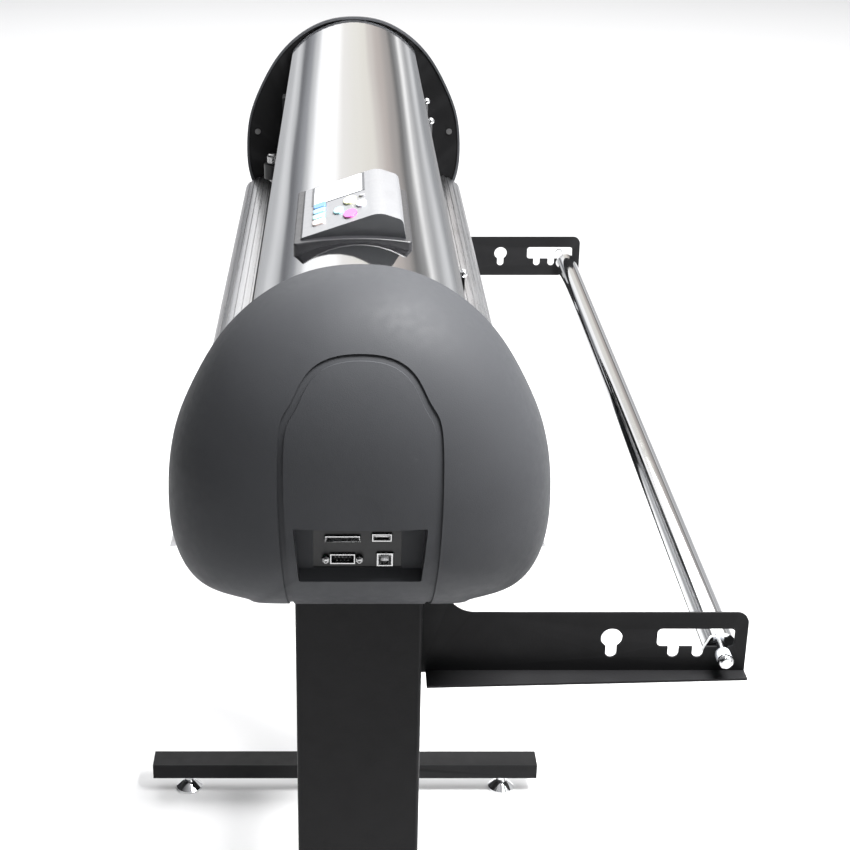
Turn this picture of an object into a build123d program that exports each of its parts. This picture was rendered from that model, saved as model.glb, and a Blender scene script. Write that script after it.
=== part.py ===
from build123d import *
from math import atan2, cos, degrees, sin, sqrt
import os

# Printer cutter: a roll-fed vinyl cutting plotter on a two-legged floor stand.
# Millimetres. +X is the operator's right, the operator stands at -Y, +Z is up,
# and the floor is z = 0. Heights inside the machine are drops below crown_z.

os.makedirs("parts", exist_ok=True)

# ---- driving dimensions: machine ----
body_length = 1110.0      # between the rims of the two end caps
crown_z = 1244.0          # top of the end cap rims above the floor
cap_depth = 108.0         # how far an end cap bulges outboard of its rim
cap_half_width = 149.5
cap_height = 271.0
cap_nose_drop = 155.0     # the bulge's furthest point, below the crown
cap_wall = 3.0
arch_drop = 42.0          # top of the arch groove below the crown
arch_half_width = 60.5
arch_wide_drop = 134.0    # the arch is widest here
arch_foot = 53.5
arch_groove = 4.5
plate_recess = 2.0        # side plate's inner face, outboard of the rim
plate_thickness = 3.0
seat_gap = 0.5            # loose gap round pieces that sit inside a shell
slide_gap = 0.5           # gap between faces that slide past each other
touch_gap = 0.3           # gap between curved faces on different bodies
fit_gap = 0.05            # radial clearance of a running fit

# ---- driving dimensions: bed ----
bed_drop = 220.0          # top of the platen below the crown
bed_front = -152.0
bed_rear = 150.0
bed_flat_half = 112.0     # the platen is flat this far from the middle
bed_edge_fall = 17.0      # the outer edges curve down this far
bed_wing_front = -128.0   # outside these the platen stops short of the cap rims
bed_wing_rear = 128.0
bed_skin = 4.5
bed_box_front = -80.0
bed_box_rear = 66.0
bed_box_wall = 4.0
bed_box_drop = 266.5      # underside of the bed's box section
groove_pitch = 7.7
groove_width = 3.6
groove_depth = 1.0

# ---- driving dimensions: media feed ----
grit_y = -50.0
grit_diameter = 20.0
grit_length = 50.0
grit_count = 7
grit_rise = 0.8           # how far a barrel stands above the platen
grit_window_margin = 2.0
shaft_diameter = 8.0
bearing_diameter = 22.0
bearing_width = 7.0
shaft_pulley_radius = 15.0
feed_pulley_radius = 10.0
feed_pulley_width = 10.0
feed_centres = 114.0      # shaft axis to feed motor axis
belt_thickness = 1.4

# ---- driving dimensions: carriage drive ----
beam_front = -28.0
beam_rear = 28.0
beam_top_drop = 60.0
beam_bottom_drop = 130.0
beam_wall = 4.0
rail_drop = 122.0
rail_height = 12.0
rail_depth = 8.0
belt_drop = 95.0          # middle of the carriage belt loop
drive_pulley_radius = 10.0
drive_belt_width = 6.0
drive_pulley_x = 515.0
idler_pulley_x = -538.0

# ---- driving dimensions: carriage and tool ----
carriage_x = -493.0
carriage_width = 60.0
carriage_back = -39.5
carriage_front = -84.0
carriage_top_drop = 58.0
carriage_bottom_drop = 148.0
tool_y = -111.0
holder_diameter = 11.4
head_diameter = 15.0
tool_ring_diameter = 24.0
tool_stroke = 2.0
tip_gap = 0.4             # blade tip above the cutting strip when lowered

# ---- driving dimensions: pinch rollers ----
pinch_x = {"left": -344.0, "middle": -232.0, "right": 361.0}
pinch_width = 44.0
wheel_diameter = 16.0
wheel_width = 12.0
wheel_axle = 4.0
arm_pivot_y = 10.0
arm_pivot_drop = 165.0
arm_pin = 6.0
arm_height = 14.0
arm_width = 20.0
lever_y = 80.0
lever_drop = 150.0
lever_pin = 5.0
cam_radius = 8.0
cam_offset = 3.6
lever_width = 10.0
knob_y = 91.5
knob_drop = 70.0
knob_diameter = 8.0

# ---- driving dimensions: top cover and control panel ----
cover_half_width = 82.0
cover_radius = 113.0
cover_drop = 3.5          # top of the cover's dome below the crown
cover_thickness = 2.0
cover_lip_drop = 15.0
cover_lip_in = 8.0
panel_x0 = 338.0
panel_x1 = 479.0
panel_base_margin = 8.0
panel_base_front = -52.0
panel_base_rear = 42.0
panel_base_drop = 0.5     # top of the base's arch below the crown
panel_base_radius = 270.0
panel_front_y = -46.5
panel_front_drop = 3.0
panel_ridge_y = 16.0
panel_ridge_rise = 18.2
panel_shoulder = (34.5, 12.0)
panel_rear_y = 37.0
panel_wall = 2.5
panel_opening_front = -16.0   # the housing is open below from here back
key_stroke = 0.8
key_rise = 1.6
key_gap = 0.3

# ---- driving dimensions: connectors ----
bay_top_drop = 168.5
bay_bottom_drop = 216.0
bay_half_width = 49.5
bay_draft = 4.0           # each side leans in by this much towards the bottom
bay_sill_rise = 6.5       # the sloped sill's height against the back wall
bay_floor_depth = 88.0    # bay's back wall, outboard of the rim
bay_wall = 2.5
port_window = (66.0, 38.0)
port_window_centre = (-2.0, 190.0)
port_recess = 1.0
serial_y = -11.0
serial_z = -11.5
serial_screw_pitch = 25.0
board_setback = 14.0
board_thickness = 1.6
port_screw = 5.0
inlet_size = (62.0, 23.0)

# ---- driving dimensions: stand ----
leg_width = 103.5
leg_depth = 55.0
leg_outer_x = 565.0
leg_wall = 2.0
leg_pad_margin = 7.0
foot_width = 40.0
foot_height = 25.0
foot_top = 56.0
foot_front = -324.0
foot_rear = 300.0
foot_stub = 56.0          # levelling foot axis in from each end
disc_diameter = 42.0
stud_diameter = 8.0
crossbar_height = 80.0
crossbar_depth = 30.0
crossbar_z = 420.0

# ---- driving dimensions: roll holder ----
sheet = 2.0
bracket_x = 539.5
bracket_rear = 324.0
bracket_top = 938.0
bracket_depth = 57.0
bracket_flange_root = 25.0
bracket_flange_tip = 13.0
bracket_notch = 4.5
slot_width = 9.4
slot_bottom = 42.6        # below the bracket's top edge
slot_ledge = 32.4
slot_roof = 15.2
slot_y = (263.0, 283.5, 304.0)
keyhole_y = 211.0
keyhole_diameter = 17.9
tube_diameter = 28.7
tube_wall = 2.0
tube_end_gap = 6.0
axle_reach = 20.0

# ---- driving dimensions: small parts ----
screw_y = 134.0
screw_z = crown_z - 158.0
screw_head = 1.6
strip_width = 8.0
strip_depth = 1.5
feed_motor_size = 57.0
feed_motor_length = 45.0
carriage_motor_size = 42.0
carriage_motor_length = 40.0
clamp_screw = 5.0
idler_pin = 6.0
lever_bar_width = 6.0
window_x = (341.0, 396.0)
window_y = (-38.0, 4.0)
window_depth = 1.5
key_row_x = 404.0
key_row_y = -32.0
arrow_centre = (437.0, -7.0)
bracket_tab = 24.0

# ---- places worked out from the sizes above ----
rim_x = body_length / 2
plate_x = rim_x + plate_recess
plate_outer_x = plate_x + plate_thickness
bed_z = crown_z - bed_drop
bed_box_z = crown_z - bed_box_drop
grit_z = bed_z + grit_rise - grit_diameter / 2
grit_pitch = (pinch_x["right"] - pinch_x["left"]) / (grit_count - 1)
wheel_z = bed_z + grit_rise + touch_gap + wheel_diameter / 2
belt_z = crown_z - belt_drop
rail_z = crown_z - rail_drop
leg_x = leg_outer_x - leg_depth / 2
leg_top = crown_z - cap_height - 1.0
axle_y = slot_y[-1]
axle_z = bracket_top - slot_bottom + slot_width / 2
cover_z = crown_z - cover_drop
pulley_x = plate_x + bearing_width + 3.0 + feed_pulley_width / 2
window_size = (window_x[1] - window_x[0], window_y[1] - window_y[0])
panel_slope = atan2(panel_ridge_rise + panel_front_drop, panel_ridge_y - panel_front_y)


def block(x, y, z, mode=Mode.ADD):
    """A box between two limits along each axis."""
    centre = ((x[0] + x[1]) / 2, (y[0] + y[1]) / 2, (z[0] + z[1]) / 2)
    with Locations(centre):
        Box(x[1] - x[0], y[1] - y[0], z[1] - z[0], mode=mode)


def rod(x, y, z, axis, diameter, length, mode=Mode.ADD):
    """A cylinder centred at a point, along the X, Y or Z axis."""
    turn = {"X": (0, 90, 0), "Y": (90, 0, 0), "Z": (0, 0, 0)}[axis]
    with Locations(Location((x, y, z), turn)):
        Cylinder(diameter / 2, length, mode=mode)


# ======================= end caps and side plates =======================

# The rim outline from the crown to the flat underside, as shares of the
# half width and of the height.
rim_shape = [
    (0.0, 0.0), (0.263, 0.021), (0.547, 0.110), (0.70, 0.198), (0.85, 0.335),
    (0.967, 0.50), (1.0, 0.655), (0.985, 0.79), (0.93, 0.88), (0.82, 0.945), (0.62, 0.985),
    (0.35, 1.0),
]


def cap_section(reach, inset):
    """The cap's closed section, reach being its share of the cap's depth."""
    depth = cap_depth - inset
    nose_z = crown_z - cap_nose_drop
    above = (cap_nose_drop - inset) * (1 - reach ** 2) ** (1 / 2.4)
    below = (cap_height - cap_nose_drop - inset) * (1 - reach ** 2) ** (1 / 2.6)
    half = (cap_half_width - inset) * (1 - reach ** 2.6) ** (1 / 2.4)
    points = [(half * y, nose_z + above - (above + below) * z) for y, z in rim_shape]
    with BuildSketch(Plane.YZ.offset(rim_x + reach * depth)) as section:
        with BuildLine():
            side = Spline(*points, tangents=((1, 0), (-1, 0)))
            other = mirror(side, about=Plane.YZ)
            Line(side @ 1, other @ 1)
        make_face()
    return section.sketch


def cap_form(inset):
    """The solid bulge that the cap's outer or inner surface bounds."""
    with BuildPart() as form:
        for reach in (0.0, 0.35, 0.6, 0.8, 0.92, 0.975, 0.998):
            add(cap_section(reach, inset))
        loft()
    return form.part


def arch_outline(grow):
    """The inverted U that the groove on the cap's face follows."""
    top = crown_z - arch_drop + grow
    half = arch_half_width + grow
    foot = arch_foot + grow
    wide_z = crown_z - arch_wide_drop
    with BuildSketch(Plane.YZ.offset(rim_x + cap_depth / 4)) as arch:
        with BuildLine():
            crest = Spline(
                (0, top), (0.69 * half, top - 17.5), (0.81 * half, top - 31.0), (half, wide_z),
                tangents=((1, 0), (0, -1)),
            )
            leg = Spline(crest @ 1, (foot, crown_z - cap_height - 1), tangents=((0, -1), (-0.06, -1)))
            Line(leg @ 1, (0, crown_z - cap_height - 1))
            mirror(about=Plane.YZ)
        make_face()
    return arch.sketch


def bay_outline(grow):
    """The trapezoid of the connector bay."""
    top = crown_z - bay_top_drop + grow
    bottom = crown_z - bay_bottom_drop - grow
    wide = bay_half_width + grow
    narrow = wide - bay_draft
    with BuildSketch(Plane.YZ.offset(rim_x + bay_floor_depth)) as bay:
        with BuildLine():
            Polyline((-wide, top), (wide, top), (narrow, bottom), (-narrow, bottom), close=True)
        make_face()
        fillet(bay.vertices(), 1.5 + grow)
    return bay.sketch


def bay_sill():
    """The sloped floor that runs from the bay's back wall out to its edge."""
    floor_x = rim_x + bay_floor_depth
    bottom = crown_z - bay_bottom_drop
    half = bay_half_width - bay_draft
    with BuildPart() as sill:
        with BuildSketch(Plane.XZ.offset(-half)):
            with BuildLine():
                Polyline(
                    (floor_x - 1, bottom - 1), (rim_x + cap_depth, bottom - 1),
                    (rim_x + cap_depth, bottom), (floor_x + 9, bottom),
                    (floor_x, bottom + bay_sill_rise), (floor_x - 1, bottom + bay_sill_rise),
                    close=True,
                )
            make_face()
        extrude(amount=2 * half)
    return sill.part


def cap_shell():
    """A hollow end cap with its arch groove and connector bay."""
    outer = cap_form(0.0)
    with BuildPart() as groove:
        extrude(arch_outline(0.0), amount=cap_depth)
        extrude(arch_outline(-arch_groove), amount=cap_depth, mode=Mode.SUBTRACT)
        add(cap_form(cap_wall / 2), mode=Mode.SUBTRACT)
    with BuildPart() as tub:
        extrude(bay_outline(bay_wall), amount=cap_depth)
        extrude(bay_outline(bay_wall), amount=-bay_wall)
        extrude(bay_outline(0.0), amount=cap_depth, mode=Mode.SUBTRACT)
        add(bay_sill())
        add(outer, mode=Mode.INTERSECT)
    floor_x = rim_x + bay_floor_depth
    window_y, window_drop = port_window_centre
    wide, tall = port_window
    with BuildPart() as shell:
        add(outer)
        add(cap_form(cap_wall), mode=Mode.SUBTRACT)
        add(groove.part, mode=Mode.SUBTRACT)
        extrude(bay_outline(0.0), amount=cap_depth, mode=Mode.SUBTRACT)
        add(tub.part)
        block((floor_x - port_recess, floor_x + 1),
              (window_y - wide / 2, window_y + wide / 2),
              (crown_z - window_drop - tall / 2, crown_z - window_drop + tall / 2), Mode.SUBTRACT)
    return shell.part


def make_caps():
    shell = cap_shell()
    floor_x = rim_x + bay_floor_depth
    window_y, window_drop = port_window_centre
    window_z = crown_z - window_drop
    with BuildPart() as right_end_cap:
        add(shell)
        for y, z, wide, tall, lip in port_table():
            with Locations((floor_x, window_y + y, window_z + z)):
                Box(4 * bay_wall, wide + 2 * seat_gap, tall + 2 * seat_gap, mode=Mode.SUBTRACT)
        for y, z in serial_screw_places():
            rod(floor_x, window_y + y, window_z + z, "X", port_screw + 2 * seat_gap,
                4 * bay_wall, Mode.SUBTRACT)
    right_end_cap.part.label = "right_end_cap"
    export_step(right_end_cap.part, "parts/right_end_cap.step")
    inlet_wide, inlet_tall = inlet_size[0] + 2 * seat_gap, inlet_size[1] + 2 * seat_gap
    with BuildPart() as left_end_cap:
        mirror(shell, about=Plane.YZ)
        with Locations((-floor_x, window_y, window_z)):
            Box(4 * bay_wall, inlet_wide, inlet_tall, mode=Mode.SUBTRACT)
    left_end_cap.part.label = "left_end_cap"
    export_step(left_end_cap.part, "parts/left_end_cap.step")


def make_side_plates():
    outline = cap_section(0.0, cap_wall + seat_gap).moved(Location((plate_recess, 0, 0)))
    with BuildPart() as right_side_plate:
        extrude(outline, amount=plate_thickness)
        rod(plate_x, grit_y, grit_z, "X", bearing_diameter, 4 * plate_thickness, Mode.SUBTRACT)
    right_side_plate.part.label = "right_side_plate"
    export_step(right_side_plate.part, "parts/right_side_plate.step")
    with BuildPart() as left_side_plate:
        mirror(right_side_plate.part, about=Plane.YZ)
    left_side_plate.part.label = "left_side_plate"
    export_step(left_side_plate.part, "parts/left_side_plate.step")


def make_screws():
    """Button-head screws that hold the side plates and the roll brackets."""
    head, shank = 8.0, 5.0
    with BuildPart() as machine_screws:
        for side in (-1, 1):
            for y in (-screw_y, screw_y):
                rod(side * (plate_x - screw_head / 2), y, screw_z, "X", head, screw_head)
            for z in (bracket_top - 20, bracket_top - bracket_depth + 20):
                x = side * (bracket_x - sheet / 2 - bracket_tab / 2)
                rod(x, leg_width / 2 + sheet + screw_head / 2, z, "Y", head, screw_head)
    machine_screws.part.label = "machine_screws"
    export_step(machine_screws.part, "parts/machine_screws.step")


# ====================== cover, beam, bed and strip ======================

def cover_outline(inset):
    """The cover's dome with a lip that turns down and in at each edge."""
    radius = cover_radius - inset
    half = cover_half_width - inset
    centre_z = cover_z - cover_radius
    edge_z = centre_z + sqrt(radius ** 2 - half ** 2)
    lip_y = cover_half_width - cover_lip_in - inset
    lip_z = centre_z + sqrt(cover_radius ** 2 - cover_half_width ** 2) - cover_lip_drop
    with BuildSketch(Plane.YZ.offset(-plate_x)) as outline:
        with BuildLine():
            ThreePointArc((-half, edge_z), (0, centre_z + radius), (half, edge_z))
            Polyline((half, edge_z), (lip_y, lip_z), (-lip_y, lip_z), (-half, edge_z))
        make_face()
    return outline.sketch


def make_top_cover():
    with BuildPart() as top_cover:
        extrude(cover_outline(0.0), amount=2 * plate_x)
        extrude(cover_outline(cover_thickness), amount=2 * plate_x, mode=Mode.SUBTRACT)
        slit = cover_half_width - cover_lip_in - cover_thickness
        low = cover_z - cover_radius
        block((-plate_x, plate_x), (-slit, slit), (low, crown_z - beam_top_drop + 20), Mode.SUBTRACT)
    top_cover.part.label = "top_cover"
    export_step(top_cover.part, "parts/top_cover.step")


def make_carriage_beam():
    """A hollow extrusion with the carriage's rail on its front face."""
    top, bottom = crown_z - beam_top_drop, crown_z - beam_bottom_drop
    rail = (rail_z - rail_height / 2, rail_z + rail_height / 2)
    inner_y = (beam_front + beam_wall, beam_rear - beam_wall)
    with BuildPart() as carriage_beam:
        block((-plate_x, plate_x), (beam_front, beam_rear), (bottom, top))
        block((-plate_x, plate_x), (beam_front - rail_depth, beam_front), rail)
        block((-plate_x, plate_x), inner_y, (bottom + beam_wall, top - beam_wall), Mode.SUBTRACT)
        rod(drive_pulley_x, 0, belt_z, "Y", 12, 3 * beam_rear, Mode.SUBTRACT)
        pin_front = drive_belt_y() - drive_belt_width / 2 - 1
        pin_rear = beam_front + beam_wall
        rod(idler_pulley_x, (pin_front + pin_rear) / 2, belt_z, "Y", idler_pin, pin_rear - pin_front)
    carriage_beam.part.label = "carriage_beam"
    export_step(carriage_beam.part, "parts/carriage_beam.step")


def bed_profile():
    """The ribbed skin and the box section under it."""
    edge_z = bed_z - bed_edge_fall
    wide = (bed_front, bed_rear)
    edges = (
        Spline((bed_flat_half, bed_z), (wide[1], edge_z), tangents=((1, 0), (0.5, -1))),
        Spline((-bed_flat_half, bed_z), (wide[0], edge_z), tangents=((-1, 0), (-0.5, -1))),
    )
    with BuildSketch(Plane.YZ.offset(-plate_x)) as profile:
        with BuildLine():
            Line((-bed_flat_half, bed_z), (bed_flat_half, bed_z))
            Spline((bed_flat_half, bed_z), (wide[1], edge_z), tangents=((1, 0), (0.5, -1)))
            Line((wide[1], edge_z), (wide[1] - bed_skin, edge_z))
            Spline((wide[1] - bed_skin, edge_z), (bed_flat_half, bed_z - bed_skin),
                   tangents=((-0.5, 1), (-1, 0)))
            Line((bed_flat_half, bed_z - bed_skin), (-bed_flat_half, bed_z - bed_skin))
            Spline((-bed_flat_half, bed_z - bed_skin), (wide[0] + bed_skin, edge_z),
                   tangents=((-1, 0), (-0.5, -1)))
            Line((wide[0] + bed_skin, edge_z), (wide[0], edge_z))
            Spline((wide[0], edge_z), (-bed_flat_half, bed_z), tangents=((0.5, 1), (1, 0)))
        make_face()
        box_y = (bed_box_front + bed_box_rear) / 2
        box_z = (bed_z - bed_skin + bed_box_z) / 2
        width = bed_box_rear - bed_box_front
        height = bed_z - bed_skin - bed_box_z
        with Locations((box_y, box_z)):
            Rectangle(width, height)
        with Locations((box_y, box_z + bed_box_wall / 2)):
            Rectangle(width - 2 * bed_box_wall, height - bed_box_wall, mode=Mode.SUBTRACT)
        with Locations([(y, bed_z) for y in groove_places()]):
            Rectangle(groove_width, 2 * groove_depth, mode=Mode.SUBTRACT)
        with Locations((tool_y, bed_z)):
            Rectangle(strip_width, 2 * strip_depth, mode=Mode.SUBTRACT)
        for edge in edges:
            count = int(edge.length / groove_pitch)
            for index in range(count):
                along = (index + 0.5) * groove_pitch / edge.length
                lean = edge % along
                with Locations(Location(edge @ along, degrees(atan2(lean.Y, lean.X)))):
                    Rectangle(groove_width, 2 * groove_depth, mode=Mode.SUBTRACT)
    return profile.sketch


def groove_places():
    """Rib grooves across the flat of the platen, clear of the strip and rollers."""
    count = int(bed_flat_half / groove_pitch)
    places = [index * groove_pitch for index in range(-count, count + 1)]
    clear_strip = (strip_width + groove_width) / 2 + 1
    clear_grit = grit_window_width() / 2 + groove_width / 2 + 1
    return [y for y in places if abs(y - tool_y) > clear_strip and abs(y - grit_y) > clear_grit]


def grit_window_width():
    return grit_diameter + 2 * grit_window_margin


def grit_places():
    return [pinch_x["left"] + index * grit_pitch for index in range(grit_count)]


def make_platen():
    length = grit_length + 2 * grit_window_margin
    with BuildPart() as platen:
        extrude(bed_profile(), amount=2 * plate_x)
        with Locations([(x, grit_y, bed_z - bed_skin / 2) for x in grit_places()]):
            Box(length, grit_window_width(), 3 * bed_skin, mode=Mode.SUBTRACT)
        for side in (-1, 1):
            end_x = sorted((side * (rim_x - seat_gap), side * (plate_x + 1)))
            for wing in ((bed_front - 1, bed_wing_front), (bed_wing_rear, bed_rear + 1)):
                block(end_x, wing, (bed_z - 2 * bed_edge_fall, bed_z + 1), Mode.SUBTRACT)
    platen.part.label = "platen"
    export_step(platen.part, "parts/platen.step")
    with BuildPart() as cutting_strip:
        half = strip_width / 2
        block((-plate_x, plate_x), (tool_y - half, tool_y + half), (bed_z - strip_depth, bed_z))
    cutting_strip.part.label = "cutting_strip"
    export_step(cutting_strip.part, "parts/cutting_strip.step")


# ============================ media feed ============================

def make_grit_shaft():
    left_end = -plate_x - bearing_width - 2
    right_end = pulley_x + feed_pulley_width / 2 + 1
    with BuildPart() as grit_shaft:
        middle = (left_end + right_end) / 2
        rod(middle, grit_y, grit_z, "X", shaft_diameter, right_end - left_end)
        for x in grit_places():
            rod(x, grit_y, grit_z, "X", grit_diameter, grit_length)
        rod(pulley_x, grit_y, grit_z, "X", 2 * shaft_pulley_radius, feed_pulley_width)
    grit_shaft.part.label = "grit_shaft"
    export_step(grit_shaft.part, "parts/grit_shaft.step")


def make_bearings():
    with BuildPart() as shaft_bearings:
        for side in (-1, 1):
            x = side * (plate_x + bearing_width / 2)
            rod(x, grit_y, grit_z, "X", bearing_diameter, bearing_width)
            rod(x, grit_y, grit_z, "X", shaft_diameter + 2 * fit_gap, 2 * bearing_width, Mode.SUBTRACT)
    shaft_bearings.part.label = "shaft_bearings"
    export_step(shaft_bearings.part, "parts/shaft_bearings.step")


def make_feed_motor():
    """A square stepper held off the side plate by four posts."""
    face_x = pulley_x + feed_pulley_width / 2 + 6
    motor_z = grit_z + feed_centres
    with BuildPart() as feed_motor:
        size = feed_motor_size
        with BuildSketch(Plane.YZ.offset(face_x)):
            with Locations((grit_y, motor_z)):
                RectangleRounded(size, size, 5)
        extrude(amount=feed_motor_length)
        with Locations((face_x / 2 + plate_outer_x / 2, grit_y, motor_z)):
            for y in (-1, 1):
                for z in (-1, 1):
                    post = size / 2 - 5
                    with Locations(Location((0, y * post, z * post), (0, 90, 0))):
                        Cylinder(3, face_x - plate_outer_x)
        shaft_start = pulley_x - feed_pulley_width / 2
        rod((shaft_start + face_x) / 2, grit_y, motor_z, "X", 6, face_x - shaft_start)
    feed_motor.part.label = "feed_motor"
    export_step(feed_motor.part, "parts/feed_motor.step")
    with BuildPart() as feed_motor_pulley:
        rod(pulley_x, grit_y, motor_z, "X", 2 * feed_pulley_radius, feed_pulley_width)
        rod(pulley_x, grit_y, motor_z, "X", 6 + 2 * fit_gap, 2 * feed_pulley_width, Mode.SUBTRACT)
    feed_motor_pulley.part.label = "feed_motor_pulley"
    export_step(feed_motor_pulley.part, "parts/feed_motor_pulley.step")


def belt_loop(centre_a, radius_a, centre_b, radius_b):
    """An open belt's closed outline round two pulleys, in a sketch plane."""
    with BuildSketch(Plane.XY) as loop:
        with Locations(centre_a):
            Circle(radius_a)
        with Locations(centre_b):
            Circle(radius_b)
        make_hull()
    return loop.sketch


def make_feed_belt():
    ends = ((grit_y, grit_z), (grit_y, grit_z + feed_centres))
    inner = (shaft_pulley_radius + touch_gap, feed_pulley_radius + touch_gap)
    plane = Plane.YZ.offset(pulley_x - feed_pulley_width / 2 + 1)
    width = feed_pulley_width - 2
    outer_loop = belt_loop(ends[0], inner[0] + belt_thickness, ends[1], inner[1] + belt_thickness)
    with BuildPart() as feed_belt:
        extrude(plane * outer_loop, amount=width)
        extrude(plane * belt_loop(ends[0], inner[0], ends[1], inner[1]), amount=width, mode=Mode.SUBTRACT)
    feed_belt.part.label = "feed_belt"
    export_step(feed_belt.part, "parts/feed_belt.step")


# ========================== carriage drive ==========================

def drive_belt_y():
    return beam_front - 3.0 - drive_belt_width / 2


def make_carriage_motor():
    with BuildPart() as carriage_motor:
        size = carriage_motor_size
        block((drive_pulley_x - size / 2, drive_pulley_x + size / 2),
              (beam_rear, beam_rear + carriage_motor_length),
              (belt_z - size / 2, belt_z + size / 2))
        fillet(carriage_motor.edges().filter_by(Axis.Y), 4)
        front = drive_belt_y() - drive_belt_width / 2
        rod(drive_pulley_x, (front + beam_rear) / 2, belt_z, "Y", 5, beam_rear - front)
    carriage_motor.part.label = "carriage_motor"
    export_step(carriage_motor.part, "parts/carriage_motor.step")
    with BuildPart() as carriage_motor_pulley:
        diameter = 2 * (drive_pulley_radius - touch_gap)
        rod(drive_pulley_x, drive_belt_y(), belt_z, "Y", diameter, drive_belt_width)
        rod(drive_pulley_x, drive_belt_y(), belt_z, "Y", 5 + 2 * fit_gap, 20, Mode.SUBTRACT)
    carriage_motor_pulley.part.label = "carriage_motor_pulley"
    export_step(carriage_motor_pulley.part, "parts/carriage_motor_pulley.step")


def make_idler():
    """The idler turns on the pin that stands out of the beam's front wall."""
    with BuildPart() as idler_pulley:
        diameter = 2 * (drive_pulley_radius - touch_gap)
        rod(idler_pulley_x, drive_belt_y(), belt_z, "Y", diameter, drive_belt_width)
        rod(idler_pulley_x, drive_belt_y(), belt_z, "Y", idler_pin + 2 * fit_gap, 20, Mode.SUBTRACT)
    idler_pulley.part.label = "idler_pulley"
    export_step(idler_pulley.part, "parts/idler_pulley.step")


def make_carriage_belt():
    ends = ((idler_pulley_x, belt_z), (drive_pulley_x, belt_z))
    plane = Plane.XZ.offset(-drive_belt_y() - drive_belt_width / 2)
    outer = drive_pulley_radius + belt_thickness
    loop = belt_loop(ends[0], outer, ends[1], outer)
    hole = belt_loop(ends[0], drive_pulley_radius, ends[1], drive_pulley_radius)
    with BuildPart() as carriage_belt:
        extrude(plane * loop, amount=drive_belt_width)
        extrude(plane * hole, amount=drive_belt_width, mode=Mode.SUBTRACT)
    carriage_belt.part.label = "carriage_belt"
    export_step(carriage_belt.part, "parts/carriage_belt.step")


# ========================= carriage and tool =========================

def make_carriage():
    x = (carriage_x - carriage_width / 2, carriage_x + carriage_width / 2)
    top, bottom = crown_z - carriage_top_drop, crown_z - carriage_bottom_drop
    shoe_z = (rail_z - rail_height / 2 - 8, rail_z + rail_height / 2 + 2 * slide_gap)
    rail_y = (beam_front - rail_depth - slide_gap, beam_front - slide_gap)
    lug_z = (belt_z - drive_pulley_radius + slide_gap, belt_z - drive_pulley_radius + 8)
    with BuildPart() as carriage:
        block(x, (carriage_front, carriage_back), (bottom, top))
        fillet(carriage.edges().filter_by(Axis.Z), 6)
        block(x, (carriage_back, beam_front - 1), shoe_z)
        clear = rail_height / 2 + slide_gap
        block(x, rail_y, (rail_z - clear, rail_z + clear), Mode.SUBTRACT)
        block(x, (rail_y[1], beam_front), (rail_z - clear, rail_z + clear), Mode.SUBTRACT)
        block((carriage_x - 10, carriage_x + 10), (carriage_back, beam_front - 4), lug_z)
    carriage.part.label = "carriage"
    export_step(carriage.part, "parts/carriage.step")


def make_tool():
    """A vertical slide with a split ring that clamps the blade holder."""
    head_z = crown_z - 181.0
    ring_z = (head_z - 27.0, head_z - 7.0)
    plate_y = (carriage_front - 12.0, carriage_front - slide_gap)
    with BuildPart() as tool_slide:
        block((carriage_x - 14, carriage_x + 14), plate_y, (ring_z[0], crown_z - 95))
        block((carriage_x - 7, carriage_x + 7), (tool_y, plate_y[0]), ring_z)
        middle, height = sum(ring_z) / 2, ring_z[1] - ring_z[0]
        rod(carriage_x, tool_y, middle, "Z", tool_ring_diameter, height)
        rod(carriage_x, tool_y, middle, "Z", holder_diameter, 2 * height, Mode.SUBTRACT)
        knob_hole = tool_ring_diameter / 2 + 2
        screw = clamp_screw + 2 * fit_gap
        rod(carriage_x - knob_hole / 2, tool_y, middle, "X", screw, knob_hole, Mode.SUBTRACT)
    tool_slide.part.label = "tool_slide"
    export_step(tool_slide.part, "parts/tool_slide.step")
    tip_z = bed_z + tip_gap + tool_stroke
    with BuildPart() as blade_holder:
        with BuildSketch(Plane.XZ.offset(-tool_y)):
            with BuildLine():
                barrel, head = carriage_x + holder_diameter / 2, carriage_x + head_diameter / 2
                Polyline(
                    (carriage_x, tip_z), (carriage_x + 0.6, tip_z), (carriage_x + 1.5, tip_z + 3),
                    (barrel, tip_z + 7), (barrel, head_z - 5), (head, head_z - 5),
                    (head, head_z + 7), (carriage_x, head_z + 7), close=True,
                )
            make_face()
        revolve(axis=Axis((carriage_x, tool_y, 0), (0, 0, 1)))
        fillet(blade_holder.edges().sort_by(Axis.Z)[-1], 4)
    blade_holder.part.label = "blade_holder"
    export_step(blade_holder.part, "parts/blade_holder.step")
    with BuildPart() as clamp_knob:
        ring_x = carriage_x - tool_ring_diameter / 2
        tip_x = carriage_x - holder_diameter / 2 - touch_gap
        rod(ring_x - 6 - slide_gap, tool_y, middle, "X", 14, 12)
        start = ring_x - 1
        rod((start + tip_x) / 2, tool_y, middle, "X", clamp_screw, tip_x - start)
    clamp_knob.part.label = "clamp_knob"
    export_step(clamp_knob.part, "parts/clamp_knob.step")


# =========================== pinch rollers ===========================

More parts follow.
